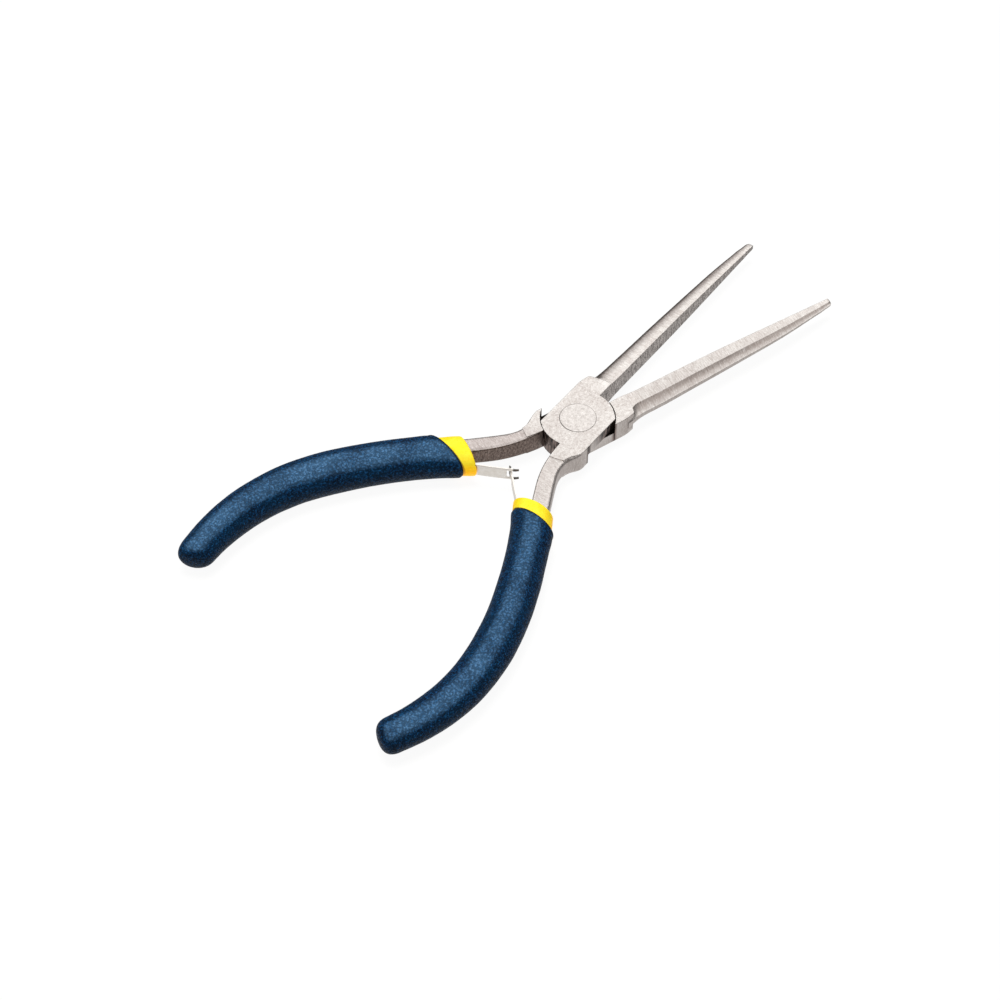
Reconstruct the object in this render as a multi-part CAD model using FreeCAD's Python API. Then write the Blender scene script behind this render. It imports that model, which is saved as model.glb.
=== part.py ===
import FreeCAD, Part
import math
import os
from FreeCAD import Vector

# Spring-loaded needle nose pliers: two lap-joint halves on one flush rivet, millimetres.
# Origin: pivot axis, on the rear flat of the joint. +X runs towards the jaw tips,
# +Z runs along the rivet to the front flat.
# The two halves are the same forging, one turned over about the X direction. Each is built
# in its own frame: gripping face along X, jaw on +Y, handle on -Y, lap in front.
# There, inner means towards +Y and outer towards -Y on the handle.

# ---- joint --------------------------------------------------------------
JOINT_T = 5.10            # thickness over the two laps
MID = JOINT_T / 2         # plane between the laps
OPEN_DEG = 19.2           # angle between the jaws in the free (sprung open) state
LAP_R = 7.25              # radius of each lap disc
POCKET_R = LAP_R + 0.10   # radius of the recess the other lap turns in
LAP_GAP = 0.03            # axial gap between the laps
BOSS_R = 10.95            # edge of the ground joint flat
LAP_LOW = -5.85           # y of the lap's straight edge on the handle side
LAP_HIGH = 5.25           # y of the lap's straight edge on the jaw side
LAP_IN = -1.02            # y where the neck's inner edge meets the lap
FACE_Y = 0.02             # gripping face offset from the centre line
EDGE_R = 0.16             # broken edge round the joint flat
OVERRUN = 1.0             # how far cutting tools run past the metal

# outline of the joint outside the lap disc: x, y
SHOULDER_EDGE = [
    (-5.6, LAP_LOW), (-6.5, -5.82), (-7.3, -5.52), (-8.1, -4.98), (-9.0, -4.48),
    (-10.0, -4.20), (-11.0, -4.12), (-12.0, -4.15),
]
NECK_INNER_EDGE = [(-12.0, -1.50), (-10.0, -1.22), (-8.6, -1.08)]
JAW_BACK_EDGE = [
    (6.6, LAP_HIGH + 0.02), (7.6, 5.24), (8.6, 5.10), (9.6, 4.84), (10.8, 4.46), (12.0, 4.20),
]

RIVET_R = 2.40            # pivot rivet shank
RIVET_HEAD_R = 3.60       # countersunk head, flush
RIVET_HEAD_D = 1.10       # depth of the countersink cone
RIVET_CHAMFER = 0.07

# ---- jaw ----------------------------------------------------------------
# x, width, half height, ridge y / width, ridge z / half height
JAW_ROOT = [
    (8.40, 5.26, 2.60, 0.90, 0.985),
    (9.60, 5.00, 2.58, 0.87, 0.970),
    (10.8, 4.66, 2.47, 0.83, 0.940),
    (12.2, 4.34, 2.30, 0.80, 0.915),
]
# x, width, half height; the ridge is that of the side being built
JAW_NOSE = [
    (14.2, 4.10, 2.19), (17.5, 3.96, 2.14), (22.0, 3.78, 2.10), (27.0, 3.60, 2.06),
    (32.0, 3.40, 1.98), (37.0, 3.19, 1.82), (42.0, 3.00, 1.60), (47.0, 2.79, 1.36),
    (52.0, 2.49, 1.11), (56.0, 2.14, 0.90), (59.2, 1.82, 0.76), (60.9, 1.60, 0.68),
    (61.5, 1.42, 0.60), (61.8, 1.15, 0.48),
]
JAW_SPARE = 0.3           # metal below the gripping face, ground off
JAW_EDGE_R = 0.14         # broken edge of the gripping face
TIP_HALF = 0.60           # up to this half height the edge is smaller
TIP_EDGE_R = 0.08
BACK_FLAT = 0.22          # half height of the flat back / half height of the jaw

# ---- neck and tang ------------------------------------------------------
# centre x, centre y, heading below -X in degrees, width in the plane,
# half thickness, inner edge radius, outer edge radius
NECK = [
    (-5.60, -3.42, -1.0, 4.80, 2.52, 0.20, 0.45),
    (-6.90, -3.38, -3.0, 4.74, 2.51, 0.22, 0.60),
    (-8.00, -3.10, -6.0, 4.26, 2.50, 0.26, 0.80),
    (-9.20, -2.84, -3.0, 3.66, 2.46, 0.30, 0.95),
    (-10.3, -2.80, 2.0, 3.34, 2.38, 0.34, 1.00),
    (-11.6, -2.90, 7.0, 3.22, 2.30, 0.40, 1.05),
    (-13.2, -3.20, 13.0, 3.24, 2.24, 0.44, 1.05),
    (-15.0, -3.74, 19.0, 3.40, 2.18, 0.45, 1.05),
    (-17.2, -4.60, 23.5, 3.50, 2.12, 0.45, 1.05),
    (-19.2, -5.52, 26.0, 3.54, 2.06, 0.45, 1.05),
    (-21.2, -6.52, 27.0, 3.50, 2.00, 0.42, 1.00),
    (-24.2, -8.04, 26.5, 3.40, 1.95, 0.38, 0.85),
    (-28.6, -10.12, 25.0, 3.30, 1.90, 0.35, 0.70),
    (-33.0, -12.06, 23.0, 3.20, 1.85, 0.35, 0.60),
    (-38.5, -14.22, 20.0, 3.10, 1.80, 0.35, 0.60),
    (-44.0, -16.10, 17.0, 3.00, 1.75, 0.35, 0.60),
    (-50.0, -17.65, 11.0, 2.90, 1.70, 0.35, 0.60),
    (-56.0, -18.45, 3.5, 2.80, 1.65, 0.35, 0.60),
    (-62.0, -18.36, -5.5, 2.70, 1.60, 0.35, 0.60),
    (-68.0, -17.28, -14.5, 2.60, 1.55, 0.35, 0.60),
]

# ---- grip ---------------------------------------------------------------
# centre line x, y, then in-plane and z radii of the sleeve, and of the liner
GRIP = [
    (-20.40, -4.45, 4.20, 3.85, 4.00, 3.50),
    (-21.70, -5.25, 4.26, 3.92, 4.00, 3.50),
    (-24.20, -6.92, 4.34, 4.02, 3.92, 3.50),
    (-26.20, -8.12, 4.28, 4.08, 3.76, 3.48),
    (-28.60, -9.45, 4.18, 4.12, 3.60, 3.45),
    (-33.00, -11.64, 4.16, 4.16, 3.48, 3.42),
    (-38.00, -13.85, 4.20, 4.20, 3.42, 3.42),
    (-43.00, -15.71, 4.22, 4.22, 3.42, 3.42),
    (-48.00, -17.18, 4.20, 4.20, 3.40, 3.40),
    (-53.00, -18.19, 4.13, 4.13, 3.36, 3.36),
    (-58.20, -18.60, 4.03, 4.03, 3.28, 3.28),
    (-63.00, -18.31, 3.90, 3.90, 3.18, 3.18),
    (-67.30, -17.47, 3.77, 3.77, 3.06, 3.06),
    (-71.50, -16.14, 3.60, 3.60, 2.92, 2.92),
    (-74.40, -14.90, 3.46, 3.46, 2.76, 2.76),
]
SLEEVE_COL, LINER_COL = 2, 4              # first radius column of each
SLEEVE_END_R, LINER_END_R = 1.3, 1.0      # radius of the blunt closed end
END_WALL = 1.2                            # the liner's end is this much shorter
LINER_SCALE_EXTRA = 0.015                 # added to the sleeve's factor, to 1 at most
END_STEPS = (0.25, 0.47, 0.66, 0.81, 0.92, 0.98, 1.0)    # stations / end length
END_TURN = 1.4                            # degrees the centre line turns per station
END_POWER = 2.7                           # superellipse power of the rounding
OVAL_POINTS = 16
MOUTH_TOOL = (12, 10)                     # reach and half depth of the mouth cutter

# ---- leaf spring, mid-surface -------------------------------------------
LEAF_W = 3.00
LEAF_T = 0.40
LEAF_CROSS = (-17.209, 2.911)      # where the two blades cross in the free state
LEAF_FLEX_X = -23.50               # where the free blade flexes
LEAF_BEND = (-29.72, -8.64)        # where the root bends on to the tang
LEAF_END = (-36.90, -11.92)        # far end of the riveted root
SLOT_BACK = 1.55                   # fork and tongue start this far short of the crossing
PRONG_AHEAD = 1.45                 # fork prongs run this far past the crossing
HEAD_AHEAD = 0.60                  # tongue head starts this far past the crossing
HEAD_LEN = 0.42
SLOT_W = 1.90
TONGUE_W = 1.50
HEAD_W = 2.75
STRIP_LAP = 0.01                   # overlap of fused strips
KNUCKLE_R = 0.30
KNUCKLE_CLEAR = 0.04
LEAF_RIVET_X = -33.6
LEAF_RIVET_R = 0.80
LEAF_RIVET_HEAD_R = 1.35
LEAF_RIVET_HEAD_T = 0.45
LEAF_RIVET_BELOW = 3.05            # from the strip's outer face to the outer head
LEAF_RIVET_LAP = 0.2               # shank runs this far into each head
POCKET_HALF_W = 1.78               # half width of the leaf's pocket in the grip
POCKET_UP = 0.33                   # room on the inner side of the leaf in the pocket


# ---- the two sides: each is ground and set by hand after forging ----------
class SideA:
    splay = 0.0150                    # outward, mm per mm beyond x = -20
    offset = 0.45                     # of the handle, outward
    liner_mouth = (-21.60, -5.50, 9.5)     # open end: centre x, y, turn in degrees
    sleeve_mouth = (-24.25, -7.10, 2.5)
    grip_scale = 0.945                # factor on the sleeve radii
    grip_end = 3.20                   # length of the sleeve's rounded end
    jaw_scale = 1.00                  # factor on the jaw width
    jaw_ridge = (0.50, 0.885)         # ridge y / width, ridge z / half height
    jaw_bow = 0.22                    # bow of the jaw's side facets
    flex_y = -3.85                    # of the leaf's flexure
    ground = 0.0                      # taken off the shoulder and neck
    rivet_clear = 0.03                # radial running clearance round the pivot rivet
    forked = False                    # blade ends in a fork, else in a tongue
    turned = False                    # turned over in the assembly


class SideB:
    splay = -0.0229
    offset = -0.05
    liner_mouth = (-21.70, -5.25, 8.0)
    sleeve_mouth = (-25.30, -6.90, -9.0)
    grip_scale = 0.995
    grip_end = 4.05
    jaw_scale = 1.12
    jaw_ridge = (0.61, 0.850)
    jaw_bow = -0.06
    flex_y = -2.92
    ground = 0.42
    rivet_clear = 0.0
    forked = True
    turned = True


# ---- helpers ------------------------------------------------------------
def spline(points):
    curve = Part.BSplineCurve()
    curve.interpolate(points)
    return curve.toShape()


def flat_spline(points):
    return spline([Vector(x, y, 0) for x, y in points])


def flat_line(start, end):
    return Part.makeLine(Vector(*start, 0), Vector(*end, 0))


def prism(points, half_width):
    """Outline in x, y extruded to both sides of the mid plane."""
    base = [Vector(point.x, point.y, MID - half_width) for point in points]
    face = Part.Face(Part.makePolygon(base + [base[0]]))
    return face.extrude(Vector(0, 0, 2 * half_width))


def biggest(shape):
    return max(shape.Solids, key=lambda solid: solid.Volume)


def unit(vector):
    result = Vector(vector)
    result.normalize()
    return result


def clamp(value):
    return min(1.0, max(0.0, value))


def fade(value, start, end):
    """Smooth step from 0 at start to 1 at end."""
    ratio = clamp((value - start) / (end - start))
    return ratio * ratio * (3.0 - 2.0 * ratio)


def set_y(side, x, y):
    """y on the handle after the side's splay and offset."""
    return y - side.splay * max(0.0, -x - 20.0) - side.offset * fade(-x, 11.0, 20.0)


def ground_off(side, x):
    return side.ground * fade(x, -19.0, -8.5) * fade(-x, 5.6, 7.0)


def section_frame(side, x, y, heading):
    """Centre and inner direction of a handle section, after splay and offset."""
    turn = math.degrees(math.atan(side.splay)) * clamp((-x - 20.0) / 5.0)
    angle = math.radians(heading + turn)
    inner = Vector(-math.sin(angle), math.cos(angle), 0)
    return Vector(x, set_y(side, x, y), MID), inner


# ---- steel half ---------------------------------------------------------
def neck_section(side, x, y, heading, width, half, inner_r, outer_r):
    """Rectangle with four rounded corners."""
    ground = ground_off(side, x)
    half_width = (width - ground) / 2
    centre, inner = section_frame(side, x, y + ground / 2, heading)
    bulge = 1.0 - math.sqrt(0.5)

    def corner(inward, front, radius):
        # from the inner or outer wall to the front or rear flat
        return [centre + inner * (inward * (half_width - a)) + Vector(0, 0, front * (half - b))
                for a, b in ((0, radius), (radius * bulge, radius * bulge), (radius, 0))]

    arcs = [corner(1, 1, inner_r), corner(-1, 1, outer_r)[::-1],
            corner(-1, -1, outer_r), corner(1, -1, inner_r)[::-1]]
    edges = []
    for i, arc in enumerate(arcs):
        edges.append(Part.makeLine(arcs[i - 1][-1], arc[0]))
        edges.append(Part.Arc(*arc).toShape())
    return Part.Wire(edges)


def jaw_section(side, x, width, half, ridge_y, ridge_z):
    edge_r = JAW_EDGE_R if half > TIP_HALF else TIP_EDGE_R
    width *= 1.0 + (side.jaw_scale - 1.0) * fade(x, 9.5, 17.0) * fade(-x, -60.5, -44.0)
    blend = fade(x, 8.0, 12.5)
    ridge_y = (ridge_y + (side.jaw_ridge[0] - ridge_y) * blend) * width
    ridge_z = (ridge_z + (side.jaw_ridge[1] - ridge_z) * blend) * half
    back_z = BACK_FLAT * half
    # middle of the bowed side facet between the ridge and the back
    bow = side.jaw_bow * fade(x, 8.4, 14.0)
    bow_y = (ridge_y + width) / 2 + bow * (ridge_z - back_z)
    bow_z = (ridge_z + back_z) / 2 + bow * (width - ridge_y)
    # broken edge: side start, middle, facet end
    facet = unit(Vector(0, ridge_y, ridge_z - half))
    wall_z = half - edge_r
    mid_y, mid_z = edge_r * 0.29, half - edge_r * 0.29 + facet.z * edge_r * 0.3
    facet_y, facet_z = facet.y * edge_r, half + facet.z * edge_r

    def at(y, z):
        return Vector(x, y + FACE_Y, MID + z)

    return Part.Wire([
        Part.makeLine(at(0, -wall_z), at(-JAW_SPARE, -wall_z)),
        Part.makeLine(at(-JAW_SPARE, -wall_z), at(-JAW_SPARE, wall_z)),
        Part.makeLine(at(-JAW_SPARE, wall_z), at(0, wall_z)),
        Part.Arc(at(0, wall_z), at(mid_y, mid_z), at(facet_y, facet_z)).toShape(),
        Part.makeLine(at(facet_y, facet_z), at(ridge_y, ridge_z)),
        spline([at(ridge_y, ridge_z), at(bow_y, bow_z), at(width, back_z)]),
        Part.makeLine(at(width, back_z), at(width, -back_z)),
        spline([at(width, -back_z), at(bow_y, -bow_z), at(ridge_y, -ridge_z)]),
        Part.makeLine(at(ridge_y, -ridge_z), at(facet_y, -facet_z)),
        Part.Arc(at(facet_y, -facet_z), at(mid_y, -mid_z), at(0, -wall_z)).toShape(),
    ])


def lap_angle(y):
    return math.asin(y / LAP_R)


def lap_point(angle):
    return Vector(LAP_R * math.cos(angle), LAP_R * math.sin(angle), 0)


def lap_arc(start, end):
    return Part.Arc(lap_point(start), lap_point((start + end) / 2), lap_point(end)).toShape()


def joint_outline(side):
    face_angle, low = lap_angle(FACE_Y), lap_angle(LAP_LOW)
    neck, high = math.pi - lap_angle(LAP_IN), math.pi - lap_angle(LAP_HIGH)
    # the high edge starts on the far side of the lap from the jaw
    low_xy, neck_xy, high_xy, face_xy = [
        (point.x, point.y) for point in map(lap_point, (low, neck, high, face_angle))]
    shoulder = [(x, y + ground_off(side, x)) for x, y in SHOULDER_EDGE]
    jaw_end = (JAW_BACK_EDGE[-1][0], FACE_Y)
    face = Part.Face(Part.Wire([
        lap_arc(face_angle, low),
        flat_line(low_xy, shoulder[0]),
        flat_spline(shoulder),
        flat_line(shoulder[-1], NECK_INNER_EDGE[0]),
        flat_spline(NECK_INNER_EDGE + [neck_xy]),
        lap_arc(neck, high),
        flat_line(high_xy, JAW_BACK_EDGE[0]),
        flat_spline(JAW_BACK_EDGE),
        flat_line(JAW_BACK_EDGE[-1], jaw_end),
        flat_line(jaw_end, face_xy),
    ]))
    # the outline may come out facing either way
    if face.normalAt(0, 0).z < 0:
        face.reverse()
    return face


def is_flat_rim(edge):
    """Edge in the front or rear flat that is not on the round end of the boss."""
    box = edge.BoundBox
    level = abs(box.ZMin - box.ZMax) < 1e-6
    if not level or (abs(box.ZMax - JOINT_T) >= 1e-6 and abs(box.ZMax) >= 1e-6):
        return False
    middle = edge.valueAt((edge.FirstParameter + edge.LastParameter) / 2)
    return abs(math.hypot(middle.x, middle.y) - BOSS_R) >= 0.02


def joint_boss(side):
    boss = joint_outline(side).extrude(Vector(0, 0, JOINT_T))
    trim = Part.makeCylinder(BOSS_R, JOINT_T + 2 * OVERRUN, Vector(0, 0, -OVERRUN))
    boss = biggest(boss.common(trim))
    return boss.makeFillet(EDGE_R, [edge for edge in boss.Edges if is_flat_rim(edge)])


def steel_half(side):
    boss = joint_boss(side)
    slab = Part.makeBox(160, 60, JOINT_T, Vector(-80, -30, 0))
    sections = [jaw_section(side, *station) for station in JAW_ROOT]
    sections += [jaw_section(side, *station, *side.jaw_ridge) for station in JAW_NOSE]
    jaw = Part.makeLoft(sections, True, False)
    # the gripping face is ground flat
    grinder = Part.makeBox(70, 3, 20, Vector(5, FACE_Y - 3, -5))
    jaw = biggest(jaw.common(slab).cut(grinder))
    neck = Part.makeLoft([neck_section(side, *station) for station in NECK], True, False)
    neck = biggest(neck.common(slab))
    body = boss.fuse([jaw, neck]).removeSplitter()
    # recess behind the front lap for the other half's lap
    recess = Part.makeCylinder(POCKET_R, MID + LAP_GAP / 2 + OVERRUN, Vector(0, 0, -OVERRUN))
    return biggest(body.cut(recess))


# ---- pivot rivet --------------------------------------------------------
def front_cone(clear):
    return Part.makeCone(RIVET_R + clear, RIVET_HEAD_R + clear, RIVET_HEAD_D,
                         Vector(0, 0, JOINT_T - RIVET_HEAD_D))


def pivot_bore(clear):
    shank = Part.makeCylinder(RIVET_R + clear, JOINT_T + 2 * OVERRUN, Vector(0, 0, -OVERRUN))
    return shank.fuse(front_cone(clear))


def pivot_rivet():
    shank = Part.makeCylinder(RIVET_R, JOINT_T)
    rear_cone = Part.makeCone(RIVET_HEAD_R, RIVET_R, RIVET_HEAD_D, Vector(0, 0, 0))
    rivet = shank.fuse([front_cone(0.0), rear_cone]).removeSplitter()
    rims = [edge for edge in rivet.Edges
            if abs(edge.BoundBox.ZMin - edge.BoundBox.ZMax) < 1e-6
            and abs(edge.BoundBox.XLength - 2 * RIVET_HEAD_R) < 1e-3]
    return biggest(rivet.makeChamfer(RIVET_CHAMFER, rims))


# ---- leaf spring --------------------------------------------------------
def leaf_line(side):
    """Flexure, blade direction, its inner normal, distance to the blades' crossing."""
    flex = Vector(LEAF_FLEX_X, side.flex_y, 0)
    reach = Vector(*LEAF_CROSS, 0) - flex
    along = unit(reach)
    return flex, along, Vector(-along.y, along.x, 0), reach.Length


def root_line(side):
    """Bend and end of the root's mid-surface."""
    return [Vector(x, set_y(side, x, y), 0) for x, y in (LEAF_BEND, LEAF_END)]


def inner_normal(direction):
    normal = unit(Vector(-direction.y, direction.x, 0))
    return normal if normal.y > 0 else normal * -1.0


def strip(side, start, end, width, half_t=LEAF_T / 2):
    """Flat strip along the blade, start and end measured from the flexure."""
    flex, along, normal, _ = leaf_line(side)
    near, far, rise = flex + along * start, flex + along * end, normal * half_t
    return prism([near - rise, far - rise, far + rise, near + rise], width / 2)


def leaf_blade(side):
    flex, _, _, cross = leaf_line(side)
    slot = cross - SLOT_BACK
    prong_end = cross + PRONG_AHEAD
    head = cross + HEAD_AHEAD
    blade = strip(side, 0, slot, LEAF_W)
    base = Vector(flex.x, flex.y, MID - LEAF_W / 2)
    blade = blade.fuse(Part.makeCylinder(KNUCKLE_R, LEAF_W, base))
    if side.forked:
        blade = blade.fuse(strip(side, slot - STRIP_LAP, prong_end, LEAF_W))
        blade = blade.cut(strip(side, slot, prong_end + OVERRUN, SLOT_W, half_t=1.0))
    else:
        blade = blade.fuse(strip(side, slot - STRIP_LAP, head + STRIP_LAP, TONGUE_W))
        blade = blade.fuse(strip(side, head, head + HEAD_LEN, HEAD_W))
    return biggest(blade.removeSplitter())


def leaf_root(side):
    flex = leaf_line(side)[0]
    bend, end = root_line(side)
    half_t = LEAF_T / 2
    free_normal = inner_normal(flex - bend)
    tang_normal = inner_normal(end - bend)
    # mitre at the bend so that the strip keeps its thickness
    mitre = unit(free_normal + tang_normal)
    mitre = mitre * (half_t / mitre.dot(free_normal))
    free, tang = free_normal * half_t, tang_normal * half_t
    root = prism([flex + free, bend + mitre, end + tang,
                  end - tang, bend - mitre, flex - free], LEAF_W / 2)
    base = Vector(flex.x, flex.y, MID - LEAF_W / 2 - OVERRUN)
    knuckle = Part.makeCylinder(KNUCKLE_R + KNUCKLE_CLEAR, LEAF_W + 2 * OVERRUN, base)
    return biggest(root.cut(knuckle))


def leaf_rivet(side):
    bend, end = root_line(side)
    along = unit(end - bend)
    normal = inner_normal(along)
    down = normal * -1.0
    centre = bend + along * ((LEAF_RIVET_X - bend.x) / along.x) + Vector(0, 0, MID)
    top = centre + normal * (LEAF_T / 2)
    length = LEAF_T + LEAF_RIVET_BELOW
    shank = Part.makeCylinder(LEAF_RIVET_R, length + 2 * LEAF_RIVET_LAP,
                              top + normal * LEAF_RIVET_LAP, down)
    head = Part.makeCylinder(LEAF_RIVET_HEAD_R, LEAF_RIVET_HEAD_T, top, normal)
    tail = Part.makeCylinder(LEAF_RIVET_HEAD_R, LEAF_RIVET_HEAD_T, top + down * length, down)
    return biggest(head.fuse([shank, tail]).removeSplitter())


# ---- grip ---------------------------------------------------------------
def oval_wire(side, x, y, heading, radius, radius_z):
    centre, inner = section_frame(side, x, y, heading)
    points = []
    for i in range(OVAL_POINTS):
        angle = 2 * math.pi * i / OVAL_POINTS
        points.append(centre + inner * (radius * math.cos(angle))
                      + Vector(0, 0, radius_z * math.sin(angle)))
    curve = Part.BSplineCurve()
    curve.interpolate(Points=points, PeriodicFlag=True)
    return Part.Wire(curve.toShape())


def grip_heading(i):
    before = GRIP[max(i - 1, 0)]
    after = GRIP[min(i + 1, len(GRIP) - 1)]
    return math.degrees(math.atan2(before[1] - after[1], before[0] - after[0]))


def grip_loft(side, column, end_len, end_r, scale):
    wires = []
    for i, row in enumerate(GRIP):
        radius, radius_z = row[column] * scale, row[column + 1] * scale
        wires.append(oval_wire(side, row[0], row[1], grip_heading(i), radius, radius_z))
    # rounded, slightly blunt end
    x, y = GRIP[-1][:2]
    heading = grip_heading(len(GRIP) - 1)
    full_r = GRIP[-1][column] * scale
    last = 0.0
    for step in END_STEPS:
        advance = end_len * (step - last)
        last = step
        heading -= END_TURN
        x -= math.cos(math.radians(heading)) * advance
        y -= math.sin(math.radians(heading)) * advance
        radius = end_r + (full_r - end_r) * (1.0 - step ** END_POWER) ** (1.0 / END_POWER)
        wires.append(oval_wire(side, x, y, heading, radius, radius))
    return Part.makeLoft(wires, True, False)


def mouth_cut(x, y, turn):
    """Block ahead of an open end."""
    reach, half_depth = MOUTH_TOOL
    angle = math.radians(90 + turn)
    across = Vector(math.cos(angle), math.sin(angle), 0) * reach
    ahead = Vector(math.sin(angle), -math.cos(angle), 0) * reach
    centre = Vector(x, y, 0)
    return prism([centre - across, centre + across,
                  centre + across + ahead, centre - across + ahead], half_depth)


def leaf_pocket(side):
    """Hollow round the bend and flexure, open towards the grip's mouth."""
    flex, along, normal, _ = leaf_line(side)
    bend = root_line(side)[0]
    roof = flex + normal * POCKET_UP
    return prism([
        bend + normal * 0.26 - Vector(0.6, 0.3, 0),
        roof - along * 1.2,
        roof + along * 0.6,
        roof + along * 6.0 + normal * 0.3,
        flex + along * 6.0 - normal * 6.0,
        flex - normal * 3.2,
        bend + Vector(0.2, -1.4, 0),
    ], POCKET_HALF_W)


def grip_parts(side, tang, root, rivet):
    scale, end_len = side.grip_scale, side.grip_end
    outer = grip_loft(side, SLEEVE_COL, end_len, SLEEVE_END_R, scale)
    outer = biggest(outer.cut(mouth_cut(*side.sleeve_mouth)))
    inner = grip_loft(side, LINER_COL, end_len - END_WALL, LINER_END_R,
                      min(1.0, scale + LINER_SCALE_EXTRA))
    inner = biggest(inner.cut(mouth_cut(*side.liner_mouth)))
    sleeve = biggest(outer.cut(inner))
    liner = inner
    for tool in (tang, leaf_pocket(side), root, rivet):
        liner = biggest(liner.cut(tool))
    return sleeve, liner


# ---- assembly -----------------------------------------------------------
def build_side(side):
    half = steel_half(side)
    root = leaf_root(side)
    rivet = leaf_rivet(side)
    half = biggest(half.cut(root.fuse(rivet)))
    root = biggest(root.cut(rivet))
    sleeve, liner = grip_parts(side, half, root, rivet)
    return {
        "half": biggest(half.cut(pivot_bore(side.rivet_clear))),
        "spring_root": root,
        "spring_blade": leaf_blade(side),
        "spring_rivet": rivet,
        "grip_liner": liner,
        "grip_sleeve": sleeve,
    }


def place(shape, side):
    """Turn side B over, then open the pliers."""
    placed = shape.copy()
    if side.turned:
        placed.rotate(Vector(0, 0, MID), Vector(1, 0, 0), 180.0)
    opening = -OPEN_DEG / 2 if side.turned else OPEN_DEG / 2
    placed.rotate(Vector(0, 0, 0), Vector(0, 0, 1), opening)
    return placed


os.makedirs("parts", exist_ok=True)
nodes = {"pivot_rivet": pivot_rivet()}
for tag, side in (("a", SideA), ("b", SideB)):
    for name, shape in build_side(side).items():
        nodes[name + "_" + tag] = place(shape, side)

for name, shape in nodes.items():
    shape.exportStep("parts/%s.step" % name)
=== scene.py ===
"""Pliers with two-layer dipped grips and a pair of interlocking leaf springs.

The rivet stands on the Z axis at the origin. The jaws point to +X and the grips to -X;
half a has its jaw on the +Y side and its grip on the -Y side, half b the other way round.
"""
import math

import bmesh
import bpy
import numpy as np
from mathutils import Matrix, Vector


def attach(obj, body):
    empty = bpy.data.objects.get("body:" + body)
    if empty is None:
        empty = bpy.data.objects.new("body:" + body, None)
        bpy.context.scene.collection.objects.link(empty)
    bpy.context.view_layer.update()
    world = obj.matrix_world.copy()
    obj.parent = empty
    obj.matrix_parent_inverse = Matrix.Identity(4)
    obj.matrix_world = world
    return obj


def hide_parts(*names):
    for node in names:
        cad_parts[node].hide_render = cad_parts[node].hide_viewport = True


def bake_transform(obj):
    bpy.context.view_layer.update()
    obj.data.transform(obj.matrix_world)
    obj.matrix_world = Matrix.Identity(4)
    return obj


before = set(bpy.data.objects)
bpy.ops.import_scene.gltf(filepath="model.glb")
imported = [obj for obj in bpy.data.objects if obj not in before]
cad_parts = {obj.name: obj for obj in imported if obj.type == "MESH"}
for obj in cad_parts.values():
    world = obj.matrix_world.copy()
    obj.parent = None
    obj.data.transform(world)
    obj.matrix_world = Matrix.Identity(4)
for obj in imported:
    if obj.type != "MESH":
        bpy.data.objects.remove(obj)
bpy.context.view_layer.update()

# ------------------------------------------------------------------
# Dimensions in the frame of one half, in mm:
# u towards the tip, v towards that half's own jaw, z along the rivet
# ------------------------------------------------------------------
MID_Z = 2.55            # middle of the thickness
HALF_OPEN = 19.2 / 2.0  # degrees each half is turned from the centre line
TO_METRES = 0.001
COLUMNS = 144           # points round a grip
ANGLES = np.arange(COLUMNS) * 2 * math.pi / COLUMNS

# Grip stations, front to rear: u, v of the centre line,
# in-plane and z radius of the sleeve, in-plane and z radius of the liner
GRIP = np.array([
    (-20.40, -4.45, 4.20, 3.85, 4.00, 3.50),
    (-21.70, -5.25, 4.26, 3.92, 4.00, 3.50),
    (-24.20, -6.92, 4.34, 4.02, 3.92, 3.50),
    (-26.20, -8.12, 4.28, 4.08, 3.76, 3.48),
    (-28.60, -9.45, 4.18, 4.12, 3.60, 3.45),
    (-33.00, -11.64, 4.16, 4.16, 3.48, 3.42),
    (-38.00, -13.85, 4.20, 4.20, 3.42, 3.42),
    (-43.00, -15.71, 4.22, 4.22, 3.42, 3.42),
    (-48.00, -17.18, 4.20, 4.20, 3.40, 3.40),
    (-53.00, -18.19, 4.13, 4.13, 3.36, 3.36),
    (-58.20, -18.60, 4.03, 4.03, 3.28, 3.28),
    (-63.00, -18.31, 3.90, 3.90, 3.18, 3.18),
    (-67.30, -17.47, 3.77, 3.77, 3.06, 3.06),
    (-71.50, -16.14, 3.60, 3.60, 2.92, 2.92),
    (-74.40, -14.90, 3.46, 3.46, 2.76, 2.76),
])
SLEEVE_COLUMN, LINER_COLUMN = 2, 4

# splay, offset: how the grip strays from the stations
# mouth, lip: planes (u, v, turn in degrees) of the liner's and the sleeve's open end
# girth: scale of the radii; end, skew: length and lean of the blunt end
# flex: u, v where the leaf turns forward; dents: u, v, z, radius, height
SIDES = {
    "a": dict(
        body="front_half", splay=0.0150, offset=0.45, girth=0.945, end=3.20, skew=0.10,
        mouth=(-21.60, -5.50, 9.5), lip=(-24.25, -7.10, 2.5), flex=(-23.50, -3.85),
        leaf="leaf_a", sleeve_seed=3.1, liner_seed=5.3,
        dents=((-27.5, -4.6, 4.4, 2.6, -0.16), (-29.5, -15.2, 3.8, 3.0, -0.10),
               (-46.0, -12.6, 4.6, 4.0, -0.10))),
    "b": dict(
        body="rear_half", splay=-0.0229, offset=-0.05, girth=0.995, end=4.05, skew=0.30,
        mouth=(-21.70, -5.25, 8.0), lip=(-25.30, -6.90, -9.0), flex=(-23.50, -2.92),
        leaf="leaf_b", sleeve_seed=17.7, liner_seed=9.9,
        dents=((-29.0, -5.2, 1.0, 3.2, -0.10), (-52.0, -14.2, 1.2, 4.2, -0.12),
               (-60.0, -21.8, 2.0, 3.6, -0.08))),
}

# u, v points of both leaves: where they cross, their bend, their rear end
LEAF_CROSS = np.array((-17.209, 2.911))
LEAF_BEND = (-29.72, -8.64)
LEAF_END = (-36.90, -11.92)

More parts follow.
